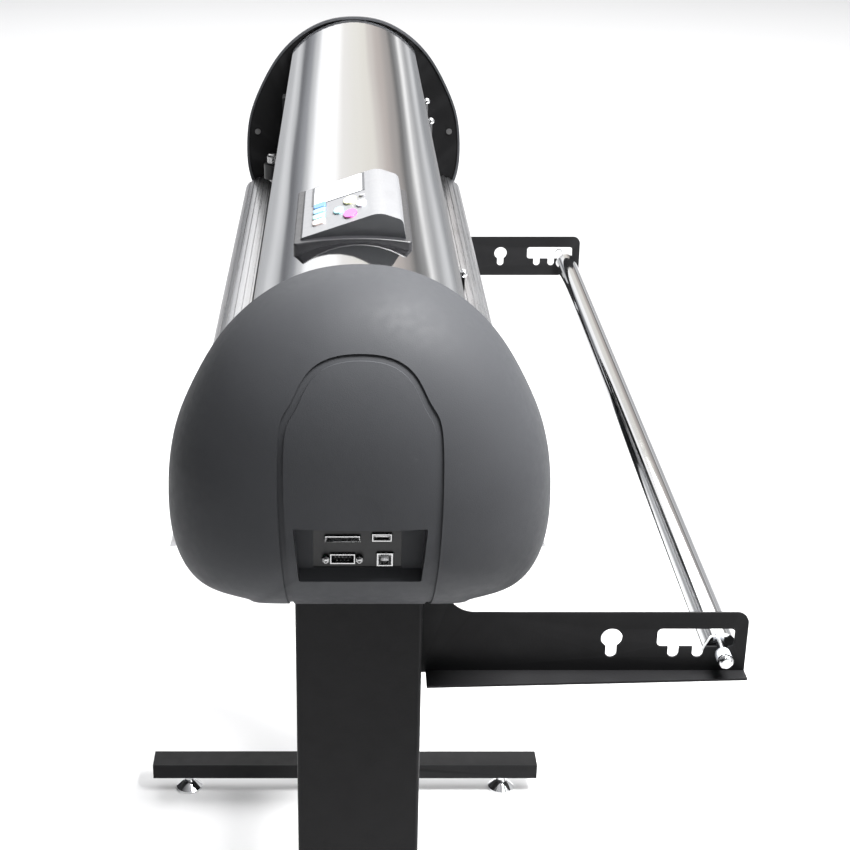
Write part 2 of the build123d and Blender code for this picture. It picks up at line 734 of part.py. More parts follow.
def make_pinch_block(name, x):
    """A bracket that hangs on the beam and carries the arm and the lever."""
    span = (x - pinch_width / 2, x + pinch_width / 2)
    shelf = (crown_z - lever_drop, crown_z - beam_bottom_drop - slide_gap)
    riser_top = crown_z - beam_top_drop + 8
    arm_z = crown_z - arm_pivot_drop
    ear_in, ear_out = arm_width / 2 + slide_gap, arm_width / 2 + slide_gap + 5
    cheek = lever_width / 2 + slide_gap
    slot_y = (lever_y - cam_radius - 6, lever_y + cam_radius + 8)
    with BuildPart() as pinch_block:
        block(span, (beam_front + 2, lever_y + 10), shelf)
        block(span, (beam_rear + slide_gap, beam_rear + 16), (shelf[0], riser_top))
        hook_z = (crown_z - beam_top_drop + slide_gap, riser_top)
        block(span, (beam_rear - 18, beam_rear + 16), hook_z)
        for side in (-1, 1):
            ear_x = sorted((x + side * ear_in, x + side * ear_out))
            block(ear_x, (arm_pivot_y - 8, arm_pivot_y + 8), (arm_z - 6, shelf[0]))
            lever_ear = sorted((x + side * cheek, x + side * (cheek + 5)))
            block(lever_ear, (lever_y - 10, lever_y + 10), (shelf[0] - 4, shelf[0]))
        block((x - cheek, x + cheek), slot_y, (shelf[0] - 9, shelf[1] + 1), Mode.SUBTRACT)
        rod(x, arm_pivot_y, arm_z, "X", arm_pin + 2 * fit_gap, pinch_width, Mode.SUBTRACT)
        lever_hole = 2 * (cheek + 5)
        pivot_z = crown_z - lever_drop
        rod(x, lever_y, pivot_z, "X", lever_pin + 2 * fit_gap, lever_hole, Mode.SUBTRACT)
    pinch_block.part.label = f"pinch_block_{name}"
    export_step(pinch_block.part, f"parts/pinch_block_{name}.step")


def make_pinch_arm(name, x):
    """A rocker whose front fork carries the wheel; its tail is under the cam."""
    pivot_z = crown_z - arm_pivot_drop
    top = crown_z - lever_drop - cam_radius - touch_gap
    bar = (top - arm_height, top)
    fork = wheel_width / 2 + slide_gap
    cheek = arm_width / 2
    with BuildPart() as pinch_arm:
        block((x - cheek, x + cheek), (grit_y + wheel_diameter / 2 + 2, lever_y + 6), bar)
        for side in (-1, 1):
            prong = sorted((x + side * fork, x + side * cheek))
            block(prong, (grit_y - 6, grit_y + wheel_diameter / 2 + 4), (wheel_z - 5, bar[1]))
        pin_length = arm_width + 2 * (slide_gap + 5)
        rod(x, arm_pivot_y, pivot_z, "X", arm_pin, pin_length)
        rod(x, grit_y, wheel_z, "X", wheel_axle + 2 * fit_gap, 2 * arm_width, Mode.SUBTRACT)
    pinch_arm.part.label = f"pinch_arm_{name}"
    export_step(pinch_arm.part, f"parts/pinch_arm_{name}.step")


def make_pinch_wheel(name, x):
    with BuildPart() as pinch_wheel:
        rod(x, grit_y, wheel_z, "X", wheel_diameter, wheel_width)
        fillet(pinch_wheel.edges(), 0.8)
        rod(x, grit_y, wheel_z, "X", wheel_axle, arm_width)
    pinch_wheel.part.label = f"pinch_wheel_{name}"
    export_step(pinch_wheel.part, f"parts/pinch_wheel_{name}.step")


def make_pinch_lever(name, x):
    """A cam lever: an offset cam on a cross pin, a flat bar and a ball knob."""
    pivot_z = crown_z - lever_drop
    knob_z = crown_z - knob_drop
    half = lever_width / 2
    with BuildPart() as pinch_lever:
        rod(x, lever_y + cam_offset, pivot_z, "X", 2 * cam_radius, lever_width)
        with BuildSketch(Plane.YZ.offset(x - lever_bar_width / 2)):
            with BuildLine():
                Polyline(
                    (lever_y - 2, pivot_z + 4), (lever_y + 7, pivot_z + 4),
                    (knob_y + 1.5, knob_z - 22), (knob_y + 1.5, knob_z),
                    (knob_y - 1.5, knob_z), (knob_y - 1.5, knob_z - 22), close=True,
                )
            make_face()
        extrude(amount=lever_bar_width)
        with Locations((x, knob_y, knob_z)):
            Sphere(knob_diameter / 2)
        rod(x, lever_y, pivot_z, "X", lever_pin, 2 * (half + slide_gap + 5))
    pinch_lever.part.label = f"pinch_lever_{name}"
    export_step(pinch_lever.part, f"parts/pinch_lever_{name}.step")


def make_pinch_rollers():
    for name, x in pinch_x.items():
        make_pinch_block(name, x)
        make_pinch_arm(name, x)
        make_pinch_wheel(name, x)
        make_pinch_lever(name, x)


# =========================== control panel ===========================

def panel_plane():
    """The sloping face: local x along +X, local y up the slope, z out of it."""
    origin = (0, panel_front_y, crown_z - panel_front_drop)
    return Plane(origin=origin, x_dir=(1, 0, 0), z_dir=(0, -sin(panel_slope), cos(panel_slope)))


def slope_place(y):
    """Distance up the slope of a point that is y from the machine's middle."""
    return (y - panel_front_y) / cos(panel_slope)


def arc_height(y, radius, top):
    """Height at y of an arc whose highest point is top, on the middle plane."""
    return top - radius + sqrt(radius ** 2 - y ** 2)


def base_height(y):
    """Height of the panel base's arched top."""
    return arc_height(y, panel_base_radius, crown_z - panel_base_drop)


def panel_profile(inset):
    """The housing's side outline, standing on the base's arched top."""
    front, rear = panel_front_y, panel_rear_y
    corner_z = crown_z - panel_front_drop
    shoulder_y, shoulder_rise = panel_shoulder
    with BuildSketch(Plane.YZ.offset(panel_x0 + inset)) as profile:
        with BuildLine():
            Polyline(
                (front, base_height(front)), (front, corner_z),
                (panel_ridge_y, crown_z + panel_ridge_rise),
                (shoulder_y, crown_z + shoulder_rise), (rear, base_height(rear)),
            )
            ThreePointArc((rear, base_height(rear)), (0, base_height(0)), (front, base_height(front)))
        make_face()
        corners = profile.vertices()
        fillet(corners.sort_by_distance((panel_ridge_y, crown_z + panel_ridge_rise))[0], 20)
        corners = profile.vertices()
        fillet(corners.sort_by_distance((shoulder_y, crown_z + shoulder_rise))[0], 6)
        corners = profile.vertices()
        fillet(corners.sort_by_distance((front, corner_z))[0], 2)
        if inset:
            offset(amount=-inset, kind=Kind.INTERSECTION, mode=Mode.REPLACE)
    return profile.sketch


def make_panel_base():
    """An arched tray that sits on the cover's dome."""
    front, rear = panel_base_front, panel_base_rear
    low = arc_height(front, cover_radius, cover_z) - 1
    with BuildPart() as panel_base:
        with BuildSketch(Plane.YZ.offset(panel_x0 - panel_base_margin)):
            with BuildLine():
                ThreePointArc((rear, base_height(rear)), (0, base_height(0)), (front, base_height(front)))
                Polyline((front, base_height(front)), (front, low), (rear, low),
                         (rear, base_height(rear)))
            make_face()
        extrude(amount=panel_x1 - panel_x0 + 2 * panel_base_margin)
        fillet(panel_base.edges().filter_by(Axis.Z), 4)
        top = panel_base.faces().filter_by(GeomType.CYLINDER).sort_by(Axis.Z)[-1]
        fillet(top.edges(), 1.5)
        extrude(cover_outline(0.0), amount=2 * plate_x, mode=Mode.SUBTRACT)
        inner_x = (panel_x0 + 2 * panel_wall, panel_x1 - 2 * panel_wall)
        inner_y = (panel_front_y + 2 * panel_wall, panel_rear_y - 2 * panel_wall)
        with BuildPart(mode=Mode.PRIVATE) as tray:
            block(inner_x, inner_y, (low, crown_z))
            extrude(cover_outline(-panel_wall), amount=2 * plate_x, mode=Mode.SUBTRACT)
        add(tray.part, mode=Mode.SUBTRACT)
    panel_base.part.label = "panel_base"
    export_step(panel_base.part, "parts/panel_base.step")


def make_panel():
    make_panel_base()
    width = panel_x1 - panel_x0
    face = panel_plane()
    inner_x = (panel_x0 + 2 * panel_wall, panel_x1 - 2 * panel_wall)
    inner_y = (panel_opening_front, panel_rear_y - 2 * panel_wall)
    with BuildPart() as panel_housing:
        extrude(panel_profile(0.0), amount=width)
        extrude(panel_profile(panel_wall), amount=width - 2 * panel_wall, mode=Mode.SUBTRACT)
        block(inner_x, inner_y, (base_height(panel_front_y), base_height(0) + panel_wall + 0.5),
              Mode.SUBTRACT)
        with BuildSketch(face.offset(-window_depth)):
            with Locations(window_centre()):
                RectangleRounded(window_size[0] + 0.4, window_size[1] + 0.4, 1.7)
        extrude(amount=20, mode=Mode.SUBTRACT)
        for name, outline, place in key_table():
            extrude(face.offset(-4 * panel_wall) * Pos(*place) * outline(key_gap),
                    amount=8 * panel_wall, mode=Mode.SUBTRACT)
    panel_housing.part.label = "panel_housing"
    export_step(panel_housing.part, "parts/panel_housing.step")
    with BuildPart() as display_window:
        with BuildSketch(face.offset(-window_depth)):
            with Locations(window_centre()):
                RectangleRounded(*window_size, 1.5)
        extrude(amount=window_depth + 0.4)
    display_window.part.label = "display_window"
    export_step(display_window.part, "parts/display_window.step")


def window_centre():
    return ((window_x[0] + window_x[1]) / 2, slope_place(sum(window_y) / 2))


def function_key(grow):
    with BuildSketch() as outline:
        RectangleRounded(13 + 2 * grow, 10.5 + 2 * grow, 2.5 + grow)
    return outline.sketch


def side_petal(grow):
    with BuildSketch() as outline:
        Ellipse(11.0 + grow, 5.6 + grow)
    return outline.sketch


def middle_petal(grow):
    with BuildSketch() as outline:
        Ellipse(9.0 + grow, 4.4 + grow)
    return outline.sketch


def round_key(grow):
    with BuildSketch() as outline:
        Circle(2.6 + grow)
    return outline.sketch


def key_table():
    """Each key's name, outline and place on the sloping face."""
    row = slope_place(key_row_y)
    x, y = arrow_centre[0], slope_place(arrow_centre[1])
    keys = [
        (f"function_key_{index + 1}", function_key, (key_row_x + 16.0 * index, row))
        for index in range(4)
    ]
    keys += [
        ("arrow_key_left", side_petal, (x - 20.0, y)),
        ("arrow_key_right", side_petal, (x + 20.0, y)),
        ("arrow_key_front", middle_petal, (x, y - 9.6)),
        ("arrow_key_rear", middle_petal, (x, y + 9.6)),
        ("origin_key", round_key, (x - 23.0, y + 10.5)),
    ]
    return keys


def make_keys():
    face = panel_plane()
    for name, outline, place in key_table():
        with BuildPart() as key:
            extrude(face.offset(-panel_wall - key_stroke) * Pos(*place) * outline(0.0),
                    amount=panel_wall + key_stroke + key_rise)
            top = key.faces().sort_by(Axis((0, 0, 0), face.z_dir))[-1]
            fillet(top.edges(), 0.5)
        key.part.label = name
        export_step(key.part, f"parts/{name}.step")


# ============================ electronics ============================

def make_electronics():
    """The board on its pillars, and the connectors that reach the bays."""
    board_x = rim_x + bay_floor_depth - board_setback
    window_y, window_drop = port_window_centre
    middle_z = crown_z - window_drop
    board_y = (window_y - 33, window_y + 57)
    board_z = (middle_z - 36, middle_z + 28)
    chip_y, chip_z = (20, 45), (middle_z - 20, middle_z + 5)
    with BuildPart() as mainboard:
        block((board_x, board_x + board_thickness), board_y, board_z)
        for y in (board_y[0] + 34, board_y[1] - 5):
            for z in (board_z[0] + 5, board_z[1] - 5):
                length = board_x - plate_outer_x
                rod(plate_outer_x + length / 2, y, z, "X", 6, length)
        block((board_x - 6, board_x), chip_y, chip_z)
    mainboard.part.label = "mainboard"
    export_step(mainboard.part, "parts/mainboard.step")
    face_x = rim_x + bay_floor_depth + 1.0
    start = board_x + board_thickness
    port_skin = 0.8
    with BuildPart() as port_connectors:
        for y, z, wide, tall, lip in port_table():
            y, z = window_y + y, middle_z + z
            block((start, face_x), (y - wide / 2, y + wide / 2), (z - tall / 2, z + tall / 2))
            pocket_y = (y - wide / 2 + lip, y + wide / 2 - lip)
            pocket_z = (z - tall / 2 + port_skin, z + tall / 2 - port_skin)
            block((face_x - 8, face_x + 1), pocket_y, pocket_z, Mode.SUBTRACT)
        for y, z in serial_screw_places():
            rod((start + face_x) / 2, window_y + y, middle_z + z, "X", port_screw, face_x - start)
    port_connectors.part.label = "port_connectors"
    export_step(port_connectors.part, "parts/port_connectors.step")
    floor_x = -rim_x - bay_floor_depth
    wide, tall = inlet_size
    with BuildPart() as power_inlet:
        block((floor_x - 1, floor_x + 24), (window_y - wide / 2, window_y + wide / 2),
              (middle_z - tall / 2, middle_z + tall / 2))
        block((floor_x - 2, floor_x + 16), (window_y - 28, window_y - 4),
              (middle_z - 8, middle_z + 8), Mode.SUBTRACT)
        for y in (-21, -16, -11):
            block((floor_x, floor_x + 16), (window_y + y - 1, window_y + y + 1),
                  (middle_z - 2, middle_z + 2))
    power_inlet.part.label = "power_inlet"
    export_step(power_inlet.part, "parts/power_inlet.step")


def port_table():
    """Each connector's place from the window's centre, size and side lip.

    In turn: the memory card slot, a USB-A socket, the 9-pin serial shell and
    a USB-B socket.
    """
    return [
        (-11.0, 5.5, 26.0, 4.0, 0.8),
        (18.2, 6.2, 14.5, 6.0, 0.8),
        (serial_y, serial_z, 18.5, 8.0, 0.8),
        (20.5, serial_z - 0.5, 12.0, 10.5, 1.2),
    ]


def serial_screw_places():
    """The two screw pillars beside the serial shell."""
    return [(serial_y + side * serial_screw_pitch / 2, serial_z) for side in (-1, 1)]


# =============================== stand ===============================

def make_legs():
    """A leg is a rectangular column welded on a foot bar."""
    inner_x, outer_x = leg_outer_x - leg_depth, leg_outer_x
    half = leg_width / 2
    pad_x = (inner_x + leg_pad_margin, rim_x - seat_gap)
    bar_x = (leg_x - leg_depth / 2 + 4, leg_x - leg_depth / 2 + 4 + foot_width)
    bar = (foot_top - foot_height, foot_top)
    wall = leg_wall
    with BuildPart() as right_leg:
        block((inner_x, outer_x), (-half, half), (foot_top, leg_top))
        block((inner_x + wall, outer_x - wall), (-half + wall, half - wall),
              (foot_top, leg_top - wall), Mode.SUBTRACT)
        block(pad_x, (-half + leg_pad_margin, half - leg_pad_margin), (leg_top, bed_box_z))
        block(bar_x, (foot_front, foot_rear), bar)
        inside = (bar[0] + wall, bar[1] - wall)
        block((bar_x[0] + wall, bar_x[1] - wall), (foot_front + wall, foot_rear - wall),
              inside, Mode.SUBTRACT)
        for y in foot_places():
            rod(sum(bar_x) / 2, y, sum(bar) / 2, "Z", 20, foot_height)
            rod(sum(bar_x) / 2, y, sum(bar) / 2 - wall, "Z", stud_diameter + 2 * fit_gap,
                foot_height, Mode.SUBTRACT)
        fillet(right_leg.edges().filter_by(Axis.Z).filter_by_position(
            Axis.X, outer_x - 0.1, outer_x + 0.1), 3)
    right_leg.part.label = "right_leg"
    export_step(right_leg.part, "parts/right_leg.step")
    with BuildPart() as left_leg:
        mirror(right_leg.part, about=Plane.YZ)
    left_leg.part.label = "left_leg"
    export_step(left_leg.part, "parts/left_leg.step")


def foot_places():
    return (foot_front + foot_stub, foot_rear - foot_stub)


def foot_bar_x():
    return leg_outer_x - leg_depth + 4 + foot_width / 2


def make_levelling_feet():
    """A coned disc on a threaded stud that turns in the foot bar."""
    bottom = foot_top - foot_height
    for side, x in (("left", -foot_bar_x()), ("right", foot_bar_x())):
        for end, y in zip(("front", "rear"), foot_places()):
            with BuildPart() as levelling_foot:
                with BuildSketch(Plane.XZ.offset(-y)):
                    with BuildLine():
                        Polyline(
                            (x, 0), (x + disc_diameter / 2 - 1, 0), (x + disc_diameter / 2, 1),
                            (x + disc_diameter / 2, 4), (x + 9, 15), (x + 7, 18),
                            (x + 7, bottom - 8), (x + stud_diameter / 2, bottom - 8),
                            (x + stud_diameter / 2, foot_top - 3), (x, foot_top - 3), close=True,
                        )
                    make_face()
                revolve(axis=Axis((x, y, 0), (0, 0, 1)))
                with BuildSketch(Plane.XY.offset(bottom - 7)):
                    with Locations((x, y)):
                        RegularPolygon(7.5, 6)
                extrude(amount=6)
            levelling_foot.part.label = f"levelling_foot_{side}_{end}"
            export_step(levelling_foot.part, f"parts/levelling_foot_{side}_{end}.step")


def make_crossbar():
    span = leg_outer_x - leg_depth
    with BuildPart() as stand_crossbar:
        half_y, half_z = crossbar_depth / 2, crossbar_height / 2
        block((-span, span), (-half_y, half_y), (crossbar_z - half_z, crossbar_z + half_z))
        fillet(stand_crossbar.edges().filter_by(Axis.X), 3)
        inner_y, inner_z = half_y - leg_wall, half_z - leg_wall
        block((-span, span), (-inner_y, inner_y), (crossbar_z - inner_z, crossbar_z + inner_z),
              Mode.SUBTRACT)
    stand_crossbar.part.label = "stand_crossbar"
    export_step(stand_crossbar.part, "parts/stand_crossbar.step")


# ============================ roll holder ============================

def bracket_web():
    """The web's outline: a deep arm that rises to the leg's top at its root."""
    root = leg_width / 2
    bottom = bracket_top - bracket_depth
    with BuildSketch(Plane.YZ.offset(bracket_x - sheet / 2)) as web:
        with BuildLine():
            Polyline(
                (root, bottom), (bracket_rear, bottom), (bracket_rear, bracket_top),
                (root + 30, bracket_top), (root + 12, leg_top - 1), (root, leg_top - 1), close=True,
            )
        make_face()
        corner = web.vertices().sort_by_distance((bracket_rear, bracket_top))[0]
        fillet(corner, 10)
        hollow = web.vertices().sort_by_distance((root + 30, bracket_top))[0]
        fillet(hollow, 25)
        slot_floor = bracket_top - slot_bottom + slot_width / 2
        ledge = bracket_top - slot_ledge
        roof = bracket_top - slot_roof
        side_margin = (slot_y[0] - slot_width - slot_width / 2, slot_y[-1] + slot_width)
        with Locations((sum(side_margin) / 2, (ledge + roof) / 2)):
            RectangleRounded(side_margin[1] - side_margin[0], roof - ledge, 4, mode=Mode.SUBTRACT)
        for y in slot_y:
            with Locations((y, slot_floor)):
                Circle(slot_width / 2, mode=Mode.SUBTRACT)
            with Locations((y, (slot_floor + ledge + 3) / 2)):
                Rectangle(slot_width, ledge + 3 - slot_floor, mode=Mode.SUBTRACT)
        key_z = bracket_top - slot_roof - keyhole_diameter / 2
        with Locations((keyhole_y, key_z)):
            Circle(keyhole_diameter / 2, mode=Mode.SUBTRACT)
        with Locations((keyhole_y, (slot_floor + key_z) / 2)):
            Rectangle(slot_width, key_z - slot_floor, mode=Mode.SUBTRACT)
        with Locations((keyhole_y, slot_floor)):
            Circle(slot_width / 2, mode=Mode.SUBTRACT)
    return web.sketch


def make_brackets():
    """Folded sheet: web, a tab behind the leg and an outward bottom flange."""
    root = leg_width / 2
    bottom = bracket_top - bracket_depth
    inner = bracket_x - sheet / 2
    with BuildPart() as right_roll_bracket:
        extrude(bracket_web(), amount=sheet)
        block((inner - bracket_tab, inner + sheet), (root, root + sheet), (bottom + 8, leg_top - 1))
        with BuildSketch(Plane.XY.offset(bottom)):
            with BuildLine():
                Polyline(
                    (inner, root + bracket_notch), (inner + sheet + bracket_flange_root, root + bracket_notch),
                    (inner + sheet + bracket_flange_tip, bracket_rear), (inner, bracket_rear), close=True,
                )
            make_face()
        extrude(amount=sheet)
    right_roll_bracket.part.label = "right_roll_bracket"
    export_step(right_roll_bracket.part, "parts/right_roll_bracket.step")
    with BuildPart() as left_roll_bracket:
        mirror(right_roll_bracket.part, about=Plane.YZ)
    left_roll_bracket.part.label = "left_roll_bracket"
    export_step(left_roll_bracket.part, "parts/left_roll_bracket.step")


def make_roll():
    half = bracket_x - sheet / 2 - tube_end_gap
    plug = 20.0
    axle = slot_width - 2 * fit_gap
    with BuildPart() as roll_tube:
        rod(0, axle_y, axle_z, "X", tube_diameter, 2 * half)
        rod(0, axle_y, axle_z, "X", tube_diameter - 2 * tube_wall, 2 * (half - plug), Mode.SUBTRACT)
        rod(0, axle_y, axle_z, "X", axle, 3 * half, Mode.SUBTRACT)
    roll_tube.part.label = "roll_tube"
    export_step(roll_tube.part, "parts/roll_tube.step")
    with BuildPart() as roll_axle:
        reach = bracket_x + axle_reach
        rod(0, axle_y, axle_z, "X", axle, 2 * reach)
        chamfer(roll_axle.edges(), 0.6)
    roll_axle.part.label = "roll_axle"
    export_step(roll_axle.part, "parts/roll_axle.step")


# ================================ main ================================

make_caps()
make_side_plates()
make_screws()
make_top_cover()
make_carriage_beam()
make_platen()
make_grit_shaft()
make_bearings()
make_feed_motor()
make_feed_belt()
make_carriage_motor()
make_idler()
make_carriage_belt()
make_carriage()
make_tool()
make_pinch_rollers()
make_panel()
make_keys()
make_electronics()
make_legs()
make_levelling_feet()
make_crossbar()
make_brackets()
make_roll()
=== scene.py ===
import math
import bmesh
import bpy
from mathutils import Matrix, Vector


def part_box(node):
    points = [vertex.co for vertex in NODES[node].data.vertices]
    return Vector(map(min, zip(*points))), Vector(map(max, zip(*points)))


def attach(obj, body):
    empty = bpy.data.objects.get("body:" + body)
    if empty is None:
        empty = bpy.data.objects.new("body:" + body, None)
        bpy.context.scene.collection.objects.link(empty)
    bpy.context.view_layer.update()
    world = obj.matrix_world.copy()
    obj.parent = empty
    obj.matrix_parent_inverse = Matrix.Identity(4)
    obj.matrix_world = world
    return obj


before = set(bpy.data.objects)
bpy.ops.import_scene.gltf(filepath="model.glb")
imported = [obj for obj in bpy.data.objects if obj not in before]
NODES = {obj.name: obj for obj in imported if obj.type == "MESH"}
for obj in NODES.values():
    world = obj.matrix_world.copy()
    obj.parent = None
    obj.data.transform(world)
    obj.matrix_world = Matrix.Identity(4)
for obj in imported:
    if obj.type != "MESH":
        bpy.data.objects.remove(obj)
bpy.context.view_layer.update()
MM = 0.001


# ---------------------------------------------------------------- places

def low(node):
    return Vector(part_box(node)[0])


def high(node):
    return Vector(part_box(node)[1])


def middle(node):
    return (low(node) + high(node)) / 2


def size(node):
    return high(node) - low(node)


CAP = "right_end_cap"
RIM_X = low(CAP).x
CROWN_Z = high(CAP).z

# The wall behind the connectors in each end cap, and the middle of its window.
WALL_X = RIM_X + 88 * MM
WINDOW_Y = -2 * MM
WINDOW_Z = CROWN_Z - 190 * MM

# Each connector's middle in millimetres from the middle of the window.
SERIAL_PORT = Vector((0, -11.0, -11.5))
USB_A_PORT = Vector((0, 18.2, 6.2))
USB_B_PORT = Vector((0, 20.5, -12.0))
CARD_SLOT = Vector((0, -11.0, 5.5))
SERIAL_HALF_PITCH = 12.5
PIN_PITCH = 2.77


# ------------------------------------------------------- camera and light

# Pale and dark bands across the far end of the studio, from the front side to
# the rear. The polished cover mirrors them as streaks along its length.
FAR_BANDS = [
    (0.0, (0.62, 0.63, 0.65)), (0.05, (0.9, 0.91, 0.93)), (0.085, (0.72, 0.73, 0.75)),
    (0.125, (0.2, 0.205, 0.22)), (0.19, (0.42, 0.43, 0.455)), (0.225, (0.8, 0.81, 0.83)),
    (0.26, (1.4, 1.41, 1.43)), (0.37, (1.5, 1.5, 1.5)), (0.44, (1.15, 1.13, 1.1)),
    (0.52, (1.1, 1.08, 1.02)), (0.6, (1.05, 1.02, 0.95)), (0.64, (0.85, 0.8, 0.76)),
    (0.69, (0.68, 0.62, 0.59)), (0.75, (0.5, 0.47, 0.455)), (0.79, (0.22, 0.22, 0.22)),
    (0.83, (0.4, 0.4, 0.405)), (0.86, (1.3, 1.3, 1.3)), (0.885, (0.75, 0.75, 0.76)),
    (0.91, (0.5, 0.505, 0.52)), (0.955, (0.9, 0.91, 0.93)), (1.0, (0.4, 0.41, 0.43)),
]
HALF_SWEEP = 1.66
WAVER = 0.34


def make_camera():
    """Looks along the machine from beyond its right end, a little above it."""
    data = bpy.data.cameras.new("camera")
    data.lens = 70.1
    data.shift_x = 0.093
    camera = bpy.data.objects.new("camera", data)
    bpy.context.collection.objects.link(camera)
    camera.location = (RIM_X + 1.184, -0.0105, CROWN_Z + 0.375)
    camera.rotation_euler = (math.radians(90 - 23.13), 0, math.radians(90))
    bpy.context.scene.camera = camera


def area_light(name, place, target, width, height, power):
    data = bpy.data.lights.new(name, "AREA")
    data.shape = "RECTANGLE"
    data.size, data.size_y = width, height
    data.energy = power
    light = bpy.data.objects.new(name, data)
    bpy.context.collection.objects.link(light)
    light.location = place
    light.rotation_euler = (Vector(target) - Vector(place)).to_track_quat("-Z", "Y").to_euler()
    light.visible_camera = False


def make_world():
    """Brighter toward the key light, with the bands at the far end."""
    world = bpy.data.worlds.new("studio")
    bpy.context.scene.world = world
    world.use_nodes = True
    nodes, links = world.node_tree.nodes, world.node_tree.links
    background = nodes["Background"]
    coords = nodes.new("ShaderNodeTexCoord")
    toward_key = nodes.new("ShaderNodeVectorMath")
    toward_key.operation = "DOT_PRODUCT"
    toward_key.inputs[1].default_value = Vector((-0.25, 0.6, 0.75)).normalized()
    links.new(coords.outputs["Generated"], toward_key.inputs[0])
    ramp = nodes.new("ShaderNodeValToRGB")
    links.new(toward_key.outputs["Value"], ramp.inputs[0])
    ramp.color_ramp.elements[0].position = 0.0
    ramp.color_ramp.elements[0].color = (0.045, 0.046, 0.05, 1)
    ramp.color_ramp.elements[1].position = 0.9
    ramp.color_ramp.elements[1].color = (0.98, 0.985, 1.0, 1)
    split = nodes.new("ShaderNodeSeparateXYZ")
    links.new(coords.outputs["Generated"], split.inputs[0])
    across = nodes.new("ShaderNodeMapRange")
    across.inputs["From Min"].default_value = -HALF_SWEEP
    across.inputs["From Max"].default_value = HALF_SWEEP
    turn = nodes.new("ShaderNodeMath")
    turn.operation = "ARCTAN2"
    links.new(split.outputs["Y"], turn.inputs[0])
    links.new(split.outputs["Z"], turn.inputs[1])
    waver = nodes.new("ShaderNodeTexNoise")
    waver.inputs["Scale"].default_value = 9.0
    waver.inputs["Detail"].default_value = 3.0
    links.new(coords.outputs["Generated"], waver.inputs["Vector"])
    shifted = nodes.new("ShaderNodeMath")
    shifted.operation = "MULTIPLY_ADD"
    shifted.inputs[1].default_value = WAVER
    links.new(waver.outputs["Fac"], shifted.inputs[0])
    links.new(turn.outputs[0], shifted.inputs[2])
    centred = nodes.new("ShaderNodeMath")
    centred.operation = "SUBTRACT"
    centred.inputs[1].default_value = WAVER / 2
    links.new(shifted.outputs[0], centred.inputs[0])
    links.new(centred.outputs[0], across.inputs["Value"])
    bands = nodes.new("ShaderNodeValToRGB")
    bands.color_ramp.interpolation = "EASE"
    stops = bands.color_ramp.elements
    while len(stops) < len(FAR_BANDS):
        stops.new(0.5)
    for stop, (position, tone) in zip(stops, FAR_BANDS):
        stop.position = position
        stop.color = (*tone, 1)
    links.new(across.outputs[0], bands.inputs[0])
    far_side = nodes.new("ShaderNodeMapRange")
    far_side.inputs["From Min"].default_value = -0.75
    far_side.inputs["From Max"].default_value = -0.9
    links.new(split.outputs["X"], far_side.inputs["Value"])
    mixed = nodes.new("ShaderNodeMix")
    mixed.data_type = "RGBA"
    links.new(far_side.outputs[0], mixed.inputs[0])
    links.new(ramp.outputs[0], mixed.inputs[6])
    links.new(bands.outputs[0], mixed.inputs[7])
    links.new(mixed.outputs[2], background.inputs["Color"])
    background.inputs["Strength"].default_value = 0.8


def make_floor():
    mesh = bpy.data.meshes.new("floor")
    half = 30.0
    corners = [(-half, -half, 0), (half, -half, 0), (half, half, 0), (-half, half, 0)]
    mesh.from_pydata(corners, [], [(0, 1, 2, 3)])
    floor = bpy.data.objects.new("floor", mesh)
    bpy.context.collection.objects.link(floor)
    floor.data.materials.append(floor_material())


def make_stage():
    bpy.context.scene.view_settings.view_transform = "Standard"
    make_world()
    make_floor()
    area_light("key_light", (-0.2, 2.5, 4.2), (0, 0, 1.0), 2.4, 2.0, 60)
    area_light("near_top", (0.7, 0.9, 3.2), (0.6, 0.1, 1.2), 0.9, 1.2, 230)
    area_light("rear_side", (1.8, 3.0, 2.1), (0.6, 0, 1.1), 1.6, 1.6, 12)
    area_light("floor_wash", (-5.0, 0.4, 5.0), (-5.0, 0.3, 0), 6.0, 9.0, 430)


# -------------------------------------------------------------- materials

